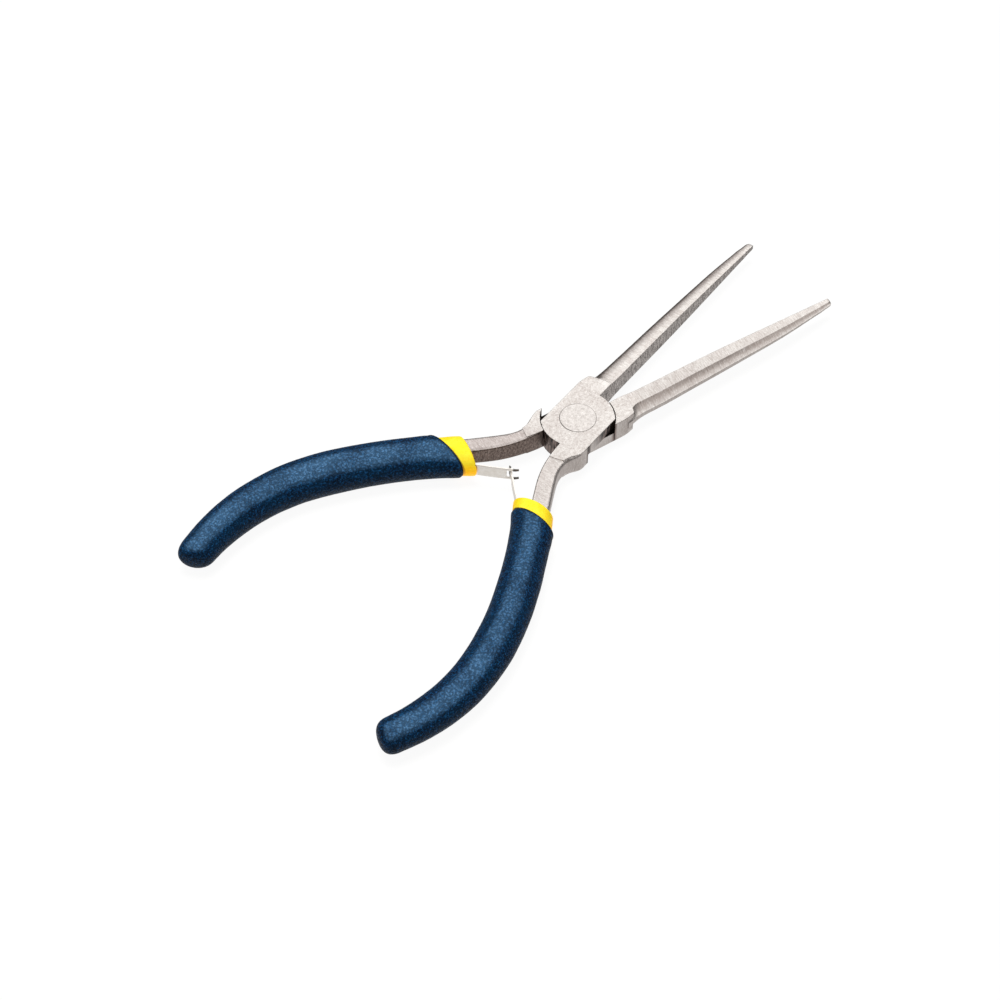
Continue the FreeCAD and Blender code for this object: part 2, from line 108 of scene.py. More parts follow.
# Leaf tips: a carries a T-shaped tongue, b a fork. Lengths are from the crossing:
# ahead: to the tip; cut: back to where the cut-out starts; curl: height, start;
# dark_end: start of the darkened end; half_z: stations from the edge to the middle
LEAF_TIPS = {
    "a": dict(ahead=1.02, cut=1.40, curl=(0.12, 0.30), dark_end=-0.10,
              half_z=(1.50, 1.37, 1.06, 0.75, 0.25)),
    "b": dict(ahead=1.45, cut=0.86, curl=(-0.25, 0.45), dark_end=0.22,
              half_z=(1.50, 1.22, 0.95, 0.6, 0.2)),
}


def splayed(side, u, v):
    """v of a grip point after this side's splay and offset."""
    ease = np.clip((-u - 11.0) / 9.0, 0.0, 1.0)
    return (v - side["splay"] * np.maximum(0.0, -u - 20.0)
            - side["offset"] * ease * ease * (3.0 - 2.0 * ease))


def place(tag, points):
    """Points of one half's frame in mm, moved to the world in metres."""
    p = np.asarray(points, float).reshape(-1, 3).copy()
    angle = math.radians(HALF_OPEN)
    if tag == "b":
        p[:, 1] *= -1.0
        p[:, 2] = 2.0 * MID_Z - p[:, 2]
        angle = -angle
    c, s = math.cos(angle), math.sin(angle)
    x, y = p[:, 0] * c - p[:, 1] * s, p[:, 0] * s + p[:, 1] * c
    return np.stack([x, y, p[:, 2]], 1) * TO_METRES


def interpolate(x, y, at):
    """Smooth cubic through (x, y), x rising."""
    h = np.diff(x)
    slope = np.diff(y) / h
    m = np.zeros(len(x))
    m[1:-1] = (h[1:] * slope[:-1] + h[:-1] * slope[1:]) / (h[1:] + h[:-1])
    m[0], m[-1] = 1.5 * slope[0] - 0.5 * m[1], 1.5 * slope[-1] - 0.5 * m[-2]
    i = np.clip(np.searchsorted(x, at) - 1, 0, len(h) - 1)
    t = (at - x[i]) / h[i]
    t2, t3 = t * t, t * t * t
    return ((2 * t3 - 3 * t2 + 1) * y[i] + (t3 - 2 * t2 + t) * h[i] * m[i]
            + (-2 * t3 + 3 * t2) * y[i + 1] + (t3 - t2) * h[i] * m[i + 1])


LATTICE = np.random.RandomState(11).uniform(-1, 1, (32, 32, 32))


def value_noise(points):
    """Smooth value noise of points, about -1..1, one lattice cell per unit."""
    floor = np.floor(points)
    t = points - floor
    t = t * t * (3 - 2 * t)
    cell = floor.astype(int)
    total = np.zeros(len(points))
    for corner in np.ndindex(2, 2, 2):
        weight = np.prod(np.where(corner, t, 1 - t), axis=1)
        total += weight * LATTICE[tuple(((cell + corner) % 32).T)]
    return total


class Tube:
    """Centre line and radii of a grip layer, by arc length from the front."""

    def __init__(self, side, column, girth):
        self.u, self.v = GRIP[:, 0], splayed(side, GRIP[:, 0], GRIP[:, 1])
        steps = np.hypot(np.diff(self.u), np.diff(self.v))
        self.stations = np.concatenate([[0], np.cumsum(steps)])
        self.plane_radius = GRIP[:, column] * girth
        self.z_radius = GRIP[:, column + 1] * girth
        self.length = self.stations[-1]

    def value(self, table, s):
        return interpolate(self.stations, table, s)

    def ring(self, s, angles=ANGLES, grow=0.0, scale=1.0):
        """Points round the tube at arc length s; it runs straight on beyond either end."""
        inside = np.clip(s, 0, self.length)
        before, after = (np.clip(inside + e, 0, self.length) for e in (-0.02, 0.02))
        du = self.value(self.u, after) - self.value(self.u, before)
        dv = self.value(self.v, after) - self.value(self.v, before)
        size = np.hypot(du, dv)
        du, dv = du / size, dv / size
        u = self.value(self.u, inside) + du * (s - inside)
        v = self.value(self.v, inside) + dv * (s - inside)
        across = (self.value(self.plane_radius, inside) + grow) * scale
        height = (self.value(self.z_radius, inside) + grow) * scale
        # the in-plane normal (dv, -du) points to +v
        cos, sin = np.cos(angles), np.sin(angles)
        return np.stack([u + dv * across * cos, v - du * across * cos,
                         MID_Z + height * sin], -1)

    def pole(self, s):
        """The centre point at s, as a one-row array."""
        return self.ring(s, 0.0, scale=0.0)[None]

    def cut(self, plane, grow=0.0):
        """Arc lengths where the lines along the tube meet a plane, and its forward normal."""
        plane_u, plane_v, turn = plane
        nu, nv = math.cos(math.radians(turn)), math.sin(math.radians(turn))
        low, high = np.full(COLUMNS, -6.0), np.full(COLUMNS, 20.0)
        for _ in range(40):
            middle = (low + high) / 2
            p = self.ring(middle, grow=grow)
            ahead = (p[:, 0] - plane_u) * nu + (p[:, 1] - plane_v) * nv > 0
            low, high = np.where(ahead, middle, low), np.where(ahead, high, middle)
        return (low + high) / 2, np.array([nu, nv, 0.0])


def liner_tube(side):
    return Tube(side, LINER_COLUMN, min(1.0, side["girth"] + 0.015))


def outward_normals(points):
    """Normals of rings joined into one array, pointing out on the last rings."""
    rings = points.reshape(-1, COLUMNS, 3)
    around = np.roll(rings, -1, 1) - np.roll(rings, 1, 1)
    n = np.cross(around, np.gradient(rings, axis=0))
    n = n / np.maximum(np.linalg.norm(n, axis=2, keepdims=True), 1e-12)
    centre = rings.mean(1, keepdims=True)
    sign = np.sign(((rings - centre) * n).sum(2)[-40:].mean())
    return (n * sign).reshape(-1, 3)


def make_object(name, points, faces, tag, smooth=True):
    mesh = bpy.data.meshes.new(name)
    mesh.from_pydata([tuple(p) for p in place(tag, points)], [], faces)
    bm = bmesh.new()
    bm.from_mesh(mesh)
    bmesh.ops.recalc_face_normals(bm, faces=bm.faces)
    bm.to_mesh(mesh)
    bm.free()
    if smooth:
        mesh.polygons.foreach_set("use_smooth", [True] * len(mesh.polygons))
    ob = bpy.data.objects.new(name, mesh)
    bpy.context.scene.collection.objects.link(ob)
    return ob


def closed_skin(name, points, start_pole, end_pole, tag):
    """Rings of points joined into a skin that closes on a pole at either end."""
    count = len(points)
    faces = []
    for o in range(0, count - COLUMNS, COLUMNS):
        for j in range(COLUMNS):
            a, b = o + j, o + (j + 1) % COLUMNS
            faces.append((a, b, b + COLUMNS, a + COLUMNS))
    faces += [(count, (j + 1) % COLUMNS, j) for j in range(COLUMNS)]
    last = count - COLUMNS
    faces += [(count + 1, last + j, last + (j + 1) % COLUMNS) for j in range(COLUMNS)]
    return make_object(name, np.concatenate([points, start_pole, end_pole]), faces, tag)


def apply_modifiers(ob):
    graph = bpy.context.evaluated_depsgraph_get()
    mesh = bpy.data.meshes.new_from_object(ob.evaluated_get(graph))
    ob.modifiers.clear()
    ob.data = mesh


# ------------------------------------------------------------------
# sleeve
# ------------------------------------------------------------------
CLEARANCE = 0.06        # between the sleeve's inner wall and the liner
WALL_START = 2.4        # straight inner wall begins this far behind the lip
LIP_GAPS = ((1.5, 0.07), (0.9, 0.10), (0.55, 0.13), (0.36, 0.19))  # behind lip, gap
LIP_DEPTH = 0.50 * 1.15  # from the lip plane back to the outside
LIP_NOSE = 0.46
LIP_SKIN = 0.25         # share of the skin's relief on the lip
INNER_END = 1.4         # length of the inner wall's closed end
INNER_POWER, END_POWER = 2 / 2.6, 2 / 2.7  # squareness of the closed ends
SWELL_HEIGHT, SWELL_AT, SWELL_WIDTH = 0.05, 1.5, 1.2
# height, cell size, multiple of the seed: slow unevenness, then raised grain
SKIN_NOISE = ((0.055, 6.0, 1), (0.028, 2.6, 2), (0.011, 0.62, 1), (0.008, 0.38, 1))


def sleeve(tag):
    """Outer grip: a dipped tube with a rolled lip, a blunt closed end and an uneven skin."""
    side = SIDES[tag]
    outer = Tube(side, SLEEVE_COLUMN, side["girth"])
    inner = liner_tube(side)
    lip_plane, forward = outer.cut(side["lip"])
    inner_lip, _ = inner.cut(side["lip"], CLEARANCE)

    # inner wall, from the closed end forward to a narrow gap just behind the lip
    inside = [inner.ring(outer.length + INNER_END * math.sin(a) ** INNER_POWER,
                         scale=math.cos(a) ** INNER_POWER)
              for a in np.linspace(math.pi / 2, 0, 6)[1:]]
    wall_start = inner_lip + WALL_START
    inside += [inner.ring(wall_start + (outer.length - wall_start) * t, grow=CLEARANCE)
               for t in np.linspace(1, 0, 22)[1:]]
    inside += [inner.ring(inner_lip + behind, grow=gap) for behind, gap in LIP_GAPS]

    # rolled lip: half round from the inner edge over the nose to the outside
    start = lip_plane + LIP_DEPTH
    inner_edge, outer_edge = inside[-1], outer.ring(start)
    centre, half = (inner_edge + outer_edge) / 2, (outer_edge - inner_edge) / 2
    lip = []
    for a in np.linspace(0, math.pi, 13)[1:-1]:
        nose = LIP_NOSE * (1.0 - 0.15 * math.cos(a))
        lip.append(centre - half * math.cos(a) + forward * nose * math.sin(a))

    # outside, swelling a little behind the lip
    outside = []
    for t in np.linspace(0, 1, 250):
        s = start + (outer.length - start) * t
        swell = SWELL_HEIGHT * np.exp(-((s - lip_plane - SWELL_AT) / SWELL_WIDTH) ** 2)
        outside.append(outer.ring(s, grow=swell))

    # the blunt end leans a little to the outside
    end = []
    for a in np.linspace(0, math.pi / 2, 22)[1:-1]:
        scale = math.cos(a) ** END_POWER
        lean = (side["skew"] * outer.plane_radius[-1] * np.cos(ANGLES)
                * scale * math.sin(a))
        s = outer.length + side["end"] * math.sin(a) ** END_POWER
        end.append(outer.ring(s - lean, scale=scale))

    v = np.concatenate(inside + lip + outside + end)
    relief = np.repeat(np.concatenate([
        np.zeros(len(inside)), np.full(len(lip), LIP_SKIN),
        np.minimum(1.0, LIP_SKIN + np.arange(len(outside)) / 6.0), np.ones(len(end))]),
        COLUMNS)
    normals = outward_normals(v)
    seed = side["sleeve_seed"]
    bumps = sum(height * value_noise(v / cell + seed * multiple)
                for height, cell, multiple in SKIN_NOISE)
    v = v + normals * (bumps * relief)[:, None]
    for *dent, radius, height in side["dents"]:
        distance2 = ((v - np.array(dent)) ** 2).sum(1)
        v = v + normals * (height * np.exp(-distance2 / radius ** 2) * relief)[:, None]
    return closed_skin("sleeve_skin_" + tag, v, inner.pole(outer.length + INNER_END),
                       outer.pole(outer.length + side["end"]), tag)


# ------------------------------------------------------------------
# liner
# ------------------------------------------------------------------
COLLAR_RADIUS = 0.36
COLLAR_INSET = 1.25     # inward reach of the collar, in collar radii
FACE_HEIGHT = COLLAR_RADIUS * 0.97
FACE_DISH = 0.25
LINER_END_INSET = 1.2   # liner ends this far short of the sleeve
LINER_END_POWER = 0.77
LINER_RIPPLE, LINER_RIPPLE_CELL = 0.035, 3.2
POCKET_HALF_Z = 1.57


def liner(tag):
    """Inner grip: a smooth tube with a rounded collar and a pocket for the leaf."""
    side = SIDES[tag]
    tube = liner_tube(side)
    mouth, forward = tube.cut(side["mouth"])
    start = mouth + COLLAR_RADIUS
    base = tube.ring(start)
    centre = base.mean(0)
    inward = centre - base
    inward = inward / np.linalg.norm(inward, axis=1, keepdims=True)
    inset = inward * COLLAR_RADIUS * COLLAR_INSET

    # slightly dished front face, then the collar's rounded rim
    rings = [centre + (base + inset - centre) * t
             + forward * (FACE_HEIGHT - FACE_DISH * (1 - t * t))
             for t in (0.12, 0.25, 0.4, 0.55, 0.7, 0.85, 1.0)]
    rings += [base + inset * (1 - math.cos(a)) + forward * COLLAR_RADIUS * math.sin(a)
              for a in np.linspace(math.pi / 2, 0, 10)]
    # outside, denser towards the collar, then the closed end
    rings += [tube.ring(start + (tube.length - start) * t)
              for t in (np.linspace(0, 1, 110) ** 1.4)[1:]]
    end = side["end"] - LINER_END_INSET
    rings += [tube.ring(tube.length + end * math.sin(a) ** LINER_END_POWER,
                        scale=math.cos(a) ** LINER_END_POWER)
              for a in np.linspace(0, math.pi / 2, 10)[1:-1]]

    v = np.concatenate(rings)
    # the ripple fades in over the collar
    fade = np.repeat(np.clip((np.arange(len(rings)) - 8) / 8.0, 0, 1), COLUMNS)
    ripple = LINER_RIPPLE * value_noise(v / LINER_RIPPLE_CELL + side["liner_seed"])
    v = v + outward_normals(v) * (ripple * fade)[:, None]
    front_pole = centre + forward * (FACE_HEIGHT - FACE_DISH)
    ob = closed_skin("liner_skin_" + tag, v, front_pole[None],
                     tube.pole(tube.length + end), tag)
    cut_pocket(ob, tag)
    return ob


def leaf_line(side):
    """Flex point, bend point and forward direction of the free blade."""
    flex = np.array(side["flex"])
    bend = np.array([LEAF_BEND[0], float(splayed(side, *LEAF_BEND))])
    return flex, bend, (LEAF_CROSS - flex) / np.linalg.norm(LEAF_CROSS - flex)


def cut_pocket(ob, tag):
    """Cut the room in which the leaf swings."""
    flex, bend, along = leaf_line(SIDES[tag])
    across = np.array([-along[1], along[0]])
    above = across * 0.33
    outline = [
        bend + across * 0.26 - (0.6, 0.3),
        flex - along * 1.2 + above,
        flex + along * 0.6 + above,
        flex + along * 7.0 + above + across * 0.3,
        flex + along * 7.0 - across * 6.5,
        flex - across * 3.2,
        bend + (0.2, -1.4),
    ]
    n = len(outline)
    points = [(*p, MID_Z + z) for z in (-POCKET_HALF_Z, POCKET_HALF_Z) for p in outline]
    faces = [tuple(range(n))[::-1], tuple(range(n, 2 * n))]
    faces += [(i, (i + 1) % n, (i + 1) % n + n, i + n) for i in range(n)]
    tool = make_object("cut_" + tag, points, faces, tag, smooth=False)
    pocket = ob.modifiers.new("pocket", "BOOLEAN")
    pocket.operation, pocket.solver, pocket.object = "DIFFERENCE", "EXACT", tool
    apply_modifiers(ob)
    bpy.data.objects.remove(tool)


# ------------------------------------------------------------------
# leaf spring
# ------------------------------------------------------------------
ROW_STEP = 0.28
BEND_ROUND, FLEX_ROUND = 1.2, 0.9   # reach of the rounded corners
BOW = 0.10                          # rise of the free blade
NECK_END = 0.60                     # tongue: end of its narrow neck, past the crossing
PRONG_TAPER = 0.20                  # fork: start of the taper, past the crossing


def rounded(corner, back, front, reach):
    """A corner replaced by a curve; back and front are the directions of travel."""
    start, end = corner - back * reach, corner + front * reach
    return [(1 - t) ** 2 * start + 2 * t * (1 - t) * corner + t * t * end
            for t in np.linspace(0, 1, 8)]


def tip_z(tag, z, row, cross):
    """z of a strip point, narrowed near the tip."""
    tip = LEAF_TIPS[tag]
    middle = math.copysign(tip["half_z"][1], z)
    if tag == "b" and row > cross + PRONG_TAPER:
        k = (row - cross - PRONG_TAPER) / (tip["ahead"] - PRONG_TAPER)
        return middle + (z - middle) * (1 - 0.30 * k) - math.copysign(0.06 * k, z)
    if tag == "a" and row > cross + NECK_END and abs(z) > 1.3:
        taper = 0.20 * max(0.0, (row - cross - 0.75) / 0.27)
        return math.copysign(abs(middle) - taper, z)
    return z


def cut_out(tag, row, z, cross):
    """Whether a strip cell lies between the prongs or beside the tongue's neck."""
    if row <= cross - LEAF_TIPS[tag]["cut"]:
        return False
    if tag == "b":
        return z < 0.95
    return row < cross + NECK_END and z > 0.75


def leaf(tag):
    """One continuous bent strip, with a fork on side b and a T-shaped tongue on side a."""
    side, tip = SIDES[tag], LEAF_TIPS[tag]
    flex, bend, blade = leaf_line(side)
    end = np.array([LEAF_END[0], float(splayed(side, *LEAF_END))])
    blade_length = np.linalg.norm(LEAF_CROSS - flex)
    root = (bend - end) / np.linalg.norm(bend - end)
    shank = (flex - bend) / np.linalg.norm(flex - bend)
    path = np.array([end] + rounded(bend, root, shank, BEND_ROUND)
                    + rounded(flex, shank, blade, FLEX_ROUND)
                    + [flex + blade * (blade_length + tip["ahead"])])
    s = np.concatenate([[0], np.cumsum(np.hypot(*np.diff(path, axis=0).T))])
    total = s[-1]
    cross = total - tip["ahead"]

    cut_start = cross - tip["cut"]
    rows = list(np.arange(0, cut_start, ROW_STEP))
    if tag == "b":
        rows += list(np.linspace(cut_start, total, 15))
    else:
        rows += list(np.linspace(cut_start, cross + NECK_END, 12))
        rows += [cross + 0.70, cross + 0.86, total]
    rows = np.array(rows)
    zs = [-z for z in tip["half_z"]] + list(tip["half_z"][::-1])

    u, v = np.interp(rows, s, path[:, 0]), np.interp(rows, s, path[:, 1])
    du, dv = np.gradient(u, rows), np.gradient(v, rows)
    size = np.hypot(du, dv)
    # a slight set in the free blade, and curled tips
    free = np.clip((rows - (cross - blade_length)) / blade_length, 0, 1)
    height, start = tip["curl"]
    curl = height * np.clip((rows - (cross + start)) / (tip["ahead"] - start), 0, 1) ** 2
    lift = BOW * np.sin(free * math.pi) + curl
    u, v = u - dv / size * lift, v + du / size * lift

    points = [(u[i], v[i], MID_Z + tip_z(tag, z, row, cross))
              for i, row in enumerate(rows) for z in zs]
    faces = []
    n = len(zs)
    for i in range(len(rows) - 1):
        for j in range(n - 1):
            cell_z = abs(zs[j] + zs[j + 1]) / 2
            if not cut_out(tag, (rows[i] + rows[i + 1]) / 2, cell_z, cross):
                a = i * n + j
                faces.append((a, a + 1, a + n + 1, a + n))
    used = sorted({i for face in faces for i in face})
    renumber = {old: new for new, old in enumerate(used)}
    faces = [tuple(renumber[i] for i in face) for face in faces]
    ob = make_object("leaf_strip_" + tag, [points[i] for i in used], faces, tag)
    thicken(ob)
    add_dark_end(ob, tag, blade)
    tuple(place(tag, (*(flex - shank), MID_Z))[0])
    tuple(place(tag, (*(flex + blade), MID_Z))[0])
    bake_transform(ob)
    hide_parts("spring_root_" + tag, "spring_blade_" + tag)
    return ob


def thicken(ob):
    """Give the strip its thickness and eased edges; sizes in metres."""
    solid = ob.modifiers.new("thick", "SOLIDIFY")
    solid.thickness, solid.offset, solid.use_even_offset = 0.00028, 0.0, True
    edge = ob.modifiers.new("edge", "BEVEL")
    edge.width, edge.segments = 0.00005, 2
    edge.limit_method, edge.angle_limit = "ANGLE", math.radians(50)
    apply_modifiers(ob)
    ob.data.polygons.foreach_set("use_smooth", [True] * len(ob.data.polygons))
    bm = bmesh.new()
    bm.from_mesh(ob.data)
    for e in bm.edges:
        e.smooth = not (len(e.link_faces) == 2
                        and e.calc_face_angle(0) > math.radians(40))
    bm.to_mesh(ob.data)
    bm.free()


def add_dark_end(ob, tag, blade):
    """Store how far past the crossing each point lies, for the darkened ends."""
    cross, ahead = place(tag, [(*LEAF_CROSS, MID_Z), (*(LEAF_CROSS + blade), MID_Z)])
    direction = (ahead - cross) / np.linalg.norm(ahead - cross)
    points = np.array([p.co[:] for p in ob.data.vertices])
    past = ((points - cross) @ direction) * 1000.0 - LEAF_TIPS[tag]["dark_end"]
    from_middle = np.abs(points[:, 2] * 1000.0 - MID_Z)
    dark_end = ob.data.attributes.new("dark_end", "FLOAT", "POINT")
    dark_end.data.foreach_set(
        "value", np.clip(past / 0.25, 0, 1) * np.clip(from_middle / 0.1, 0.6, 1))


# ------------------------------------------------------------------
# materials: texture coordinates are in mm, bump distances in metres
# ------------------------------------------------------------------
class Shader:
    """A node tree of a material or world, with short calls for the nodes used here."""

    def __init__(self, owner, output="OutputMaterial"):
        self.owner = owner
        owner.use_nodes = True
        self.tree = owner.node_tree
        self.tree.nodes.clear()
        self.output = self.node(output)

    def node(self, kind, inputs=None, **props):
        node = self.tree.nodes.new("ShaderNode" + kind)
        for key, value in props.items():
            setattr(node, key, value)
        for key, value in (inputs or {}).items():
            self.put(node, key, value)
        return node

    def put(self, node, key, value):
        if isinstance(value, bpy.types.NodeSocket):
            self.tree.links.new(value, node.inputs[key])
        else:
            node.inputs[key].default_value = value

    def finish(self, shader):
        self.put(self.output, "Surface", shader.outputs[0])
        return self.owner

    def principled(self, base, rough, normal, **inputs):
        """Inputs are named with underscores for spaces."""
        named = {key.replace("_", " "): value for key, value in inputs.items()}
        return self.finish(self.node("BsdfPrincipled", {
            "Base Color": base, "Roughness": rough, "Normal": normal, **named}))

    def math(self, operation, *values):
        return self.node("Math", dict(enumerate(values)), operation=operation).outputs[0]

    def add(self, a, b):
        return self.math("ADD", a, b)

    def subtract(self, a, b):
        return self.math("SUBTRACT", a, b)

    def invert(self, value):
        return self.subtract(1.0, value)

    def maximum(self, a, b):
        return self.math("MAXIMUM", a, b)

    def absolute(self, value):
        return self.math("ABSOLUTE", value)

    def constant(self, value):
        return self.add(0.0, value)

    def product(self, first, *others):
        for other in others:
            first = self.math("MULTIPLY", first, other)
        return first

    def weighted(self, *pairs):
        """Sum of value times weight."""
        total = self.product(*pairs[0])
        for pair in pairs[1:]:
            total = self.add(total, self.product(*pair))
        return total

    def centred(self, noise, by):
        """Noise as a swing either side of zero."""
        return self.product(self.subtract(noise, 0.5), by)

    def radius(self, x, y):
        return self.math("SQRT", self.weighted((x, x), (y, y)))

    def ramp(self, value, over, to=(0.0, 1.0), smooth=False):
        return self.node(
            "MapRange", {"Value": value, "From Min": over[0], "From Max": over[1],
                         "To Min": to[0], "To Max": to[1]},
            clamp=True, interpolation_type="SMOOTHSTEP" if smooth else "LINEAR").outputs[0]

    def mix(self, factor, a, b, mode="MIX"):
        return self.node("Mix", {0: factor, 6: a, 7: b}, data_type="RGBA",
                         blend_type=mode, clamp_factor=True).outputs[2]

    def mapping(self, vector, turn=(0, 0, 0), scale=(1, 1, 1)):
        return self.node("Mapping", {"Vector": vector, "Rotation": turn,
                                     "Scale": scale}).outputs[0]

    def millimetres(self, turn=(0, 0, 0)):
        coordinates = self.node("TexCoord").outputs["Object"]
        return self.mapping(coordinates, turn, scale=(1000, 1000, 1000))

    def split(self, vector):
        return self.node("SeparateXYZ", {"Vector": vector}).outputs

    def dot(self, vector, direction):
        return self.node("VectorMath", {0: vector, 1: direction},
                         operation="DOT_PRODUCT").outputs["Value"]

    def noise(self, vector, scale, detail, rough, distort=0.0):
        return self.node("TexNoise", {
            "Vector": vector, "Scale": scale, "Detail": detail, "Roughness": rough,
            "Distortion": distort}).outputs[0]

    def streaks(self, vector, scale, detail, rough, distort=0.0, turn=(0, 0, 0)):
        """Noise with its own scale on each axis."""
        return self.noise(self.mapping(vector, turn, scale), 1.0, detail, rough, distort)

    def cells(self, vector, scale, smoothness):
        return self.node("TexVoronoi", {"Vector": vector, "Scale": scale,
                                        "Smoothness": smoothness},
                         feature="SMOOTH_F1").outputs["Distance"]

    def occlusion(self, distance):
        return self.node("AmbientOcclusion", {"Distance": distance},
                         samples=8).outputs["AO"]

    def bump(self, height, strength, distance, normal=None):
        inputs = {"Height": height, "Strength": strength, "Distance": distance}
        if normal is not None:
            inputs["Normal"] = normal
        return self.node("Bump", inputs).outputs[0]


def new_shader(name):
    return Shader(bpy.data.materials.new(name))


def rgb(*levels):
    """Linear colour from sRGB levels 0..255."""
    def linear(level):
        c = level / 255.0
        return c / 12.92 if c <= 0.04045 else ((c + 0.055) / 1.055) ** 2.4
    return (*map(linear, levels), 1.0)


GRAIN_BUMP = dict(strength=0.70, distance=0.00008)
GRAIN_ROUGH = dict(over=(0.25, 0.75), to=(0.34, 0.50))

# mirror: sign of v against y; jaw_width: v of the jaw's outside near the joint;
# the tints are strengths of the neck's colour and of the painted shade on the outer shoulder
STEEL_SIDES = {
    "a": dict(mirror=1.0, jaw_width=4.30, neck_tint=0.20,
              neck_colour=rgb(212, 203, 200), roll_shade=0.84),
    "b": dict(mirror=-1.0, jaw_width=4.80, neck_tint=0.52,
              neck_colour=rgb(196, 184, 182), roll_shade=0.06),
}


def steel(tag):
    """Satin steel: mottled flats, cross grain on the jaws, painted shade on the inner faces,
    the sides, the jaw's outer facet and shoulder, and the recess.
    """
    look = STEEL_SIDES[tag]
    mat = new_shader("jaw_steel_" + tag)
    ramp, product = mat.ramp, mat.product
    geometry = mat.node("NewGeometry").outputs
    turn = (0, 0, math.radians(-HALF_OPEN * look["mirror"]))
    # position and face normal along the half: u, v, z
    mm = mat.millimetres(turn)
    u, v, z = mat.split(mm)
    face = mat.node("VectorTransform", {0: geometry["True Normal"]}, vector_type="NORMAL",
                    convert_from="WORLD", convert_to="OBJECT").outputs[0]
    _, normal_v, normal_z = mat.split(mat.mapping(face, turn))
    v, normal_v = product(v, look["mirror"]), product(normal_v, look["mirror"])
    level = mat.absolute(normal_z)
    from_rivet = mat.radius(u, v)

    # masks: flats of the joint, gripping face, inner faces of the neck, wall of the lap,
    # mating faces, ring round the joint
    flat = product(ramp(level, over=(0.985, 0.999), smooth=True),
                   ramp(from_rivet, over=(12.0, 10.6)))
    grip = product(ramp(product(normal_v, -1.0), over=(0.90, 0.97)),
                   ramp(u, over=(6.2, 7.2)), ramp(v, over=(0.5, 0.2)))
    crotch = product(ramp(normal_v, over=(0.55, 0.85)), ramp(u, over=(-6.0, -8.5)))
    lap_wall = product(ramp(product(normal_v, -1.0), over=(0.8, 0.95)),
                       ramp(mat.absolute(mat.add(v, 5.85)), over=(0.5, 0.2)),
                       ramp(u, over=(-3.2, 0.2)))
    from_mid = mat.absolute(mat.subtract(z, MID_Z))
    mating = product(ramp(from_mid, over=(0.30, 0.10)), ramp(level, over=(0.7, 0.95)),
                     ramp(from_rivet, over=(12.5, 11.5)))
    ring = product(ramp(mat.absolute(mat.subtract(from_rivet, 7.30)), over=(0.5, 0.14)),
                   ramp(level, over=(0.6, 0.3)))
    neck = ramp(u, over=(-8.0, -11.5))
    jaw = ramp(u, over=(9.5, 12.0))
    # outer side facet of the jaw, and how far from its middle a point lies
    facet = product(jaw, ramp(normal_v, over=(0.18, 0.42)))
    jaw_half_z = ramp(u, over=(27.0, 60.0), to=(2.10, 0.72))
    crest = ramp(mat.math("DIVIDE", from_mid, jaw_half_z), over=(0.12, 0.62), smooth=True)
    # shoulder where the top or bottom of the jaw rolls to the outside
    jaw_width = ramp(u, over=(12.0, 60.0), to=(look["jaw_width"], 1.75))
    across = mat.math("DIVIDE", v, jaw_width)
    roll = product(jaw, ramp(level, over=(0.30, 0.75)),
                   ramp(across, over=(0.28, 0.82), smooth=True))
    soft_edge = mat.node("Bevel", {"Radius": 0.00014}, samples=6).outputs["Normal"]

    mottle = mat.noise(mm, scale=1.55, detail=3.0, rough=0.70)
    speck = mat.noise(mm, scale=3.6, detail=2.0, rough=0.6)
    cross = mat.streaks(mm, scale=(3.2, 0.50, 0.50), detail=3.0, rough=0.60, distort=0.2)
    fine_cross = mat.streaks(mm, scale=(6.0, 1.5, 1.5), detail=2.0, rough=0.5)
    along = mat.streaks(mm, scale=(0.12, 1.6, 1.6), detail=2.0, rough=0.5)
    flat_grain = mat.weighted((mottle, 0.6), (speck, 0.4))
    side_grain = mat.weighted((cross, 0.45), (fine_cross, 0.25), (speck, 0.30))
    not_flat = mat.invert(flat)
    grain = mat.weighted((flat_grain, flat), (side_grain, not_flat))
    cloud = mat.noise(mm, scale=0.22, detail=3.0, rough=0.6)

    # cloudy bright steel, tinted on the neck; painted shade darkens the sides, the jaw's
    # outer facet and the outer shoulder
    base = mat.mix(ramp(cloud, over=(0.35, 0.65)), rgb(232, 228, 225), rgb(242, 240, 237))
    base = mat.mix(product(neck, look["neck_tint"]), base, look["neck_colour"])
    # painted shade: the sides darker the more they tilt away from level
    base = mat.mix(product(ramp(level, over=(0.75, 0.35)), mat.constant(0.85)),
                   base, rgb(204, 197, 193))
    # painted shade: the jaw's outer facet darker towards its crest
    base = mat.mix(product(facet, crest, mat.constant(0.62)), base, rgb(128, 114, 107))
    # painted shade on the jaw's outer shoulder, where its top or bottom rolls away
    base = mat.mix(product(roll, mat.constant(look["roll_shade"])), base,
                   rgb(128, 119, 116))
    # streaked gripping face and inner neck faces: the streaks are grain, their dark tone is
    # painted shade
    grip_streaks = ramp(mat.weighted((cross, 0.5), (speck, 0.5)), over=(0.43, 0.57))
    grip_shaded_streaks = mat.mix(grip_streaks, rgb(96, 90, 87), rgb(222, 217, 214))
    base = mat.mix(product(grip, mat.constant(0.94)), base, grip_shaded_streaks)
    neck_streaks = ramp(mat.weighted((fine_cross, 0.5), (speck, 0.5)), over=(0.40, 0.60))
    crotch_shaded_streaks = mat.mix(neck_streaks, rgb(88, 74, 67), rgb(150, 134, 126))
    base = mat.mix(product(crotch, mat.constant(0.94)), base, crotch_shaded_streaks)
    # the grain shows as lighter and darker flecks
    fleck = ramp(grain, over=(0.32, 0.68))
    dark = mat.mix(1.0, base, rgb(192, 185, 182), "MULTIPLY")
    base = mat.mix(fleck, dark, base)
    scratch = ramp(fine_cross, over=(0.60, 0.72), to=(0.0, 0.35))
    base = mat.mix(product(scratch, not_flat, mat.invert(mat.maximum(crotch, grip))),
                   base, rgb(246, 244, 242))
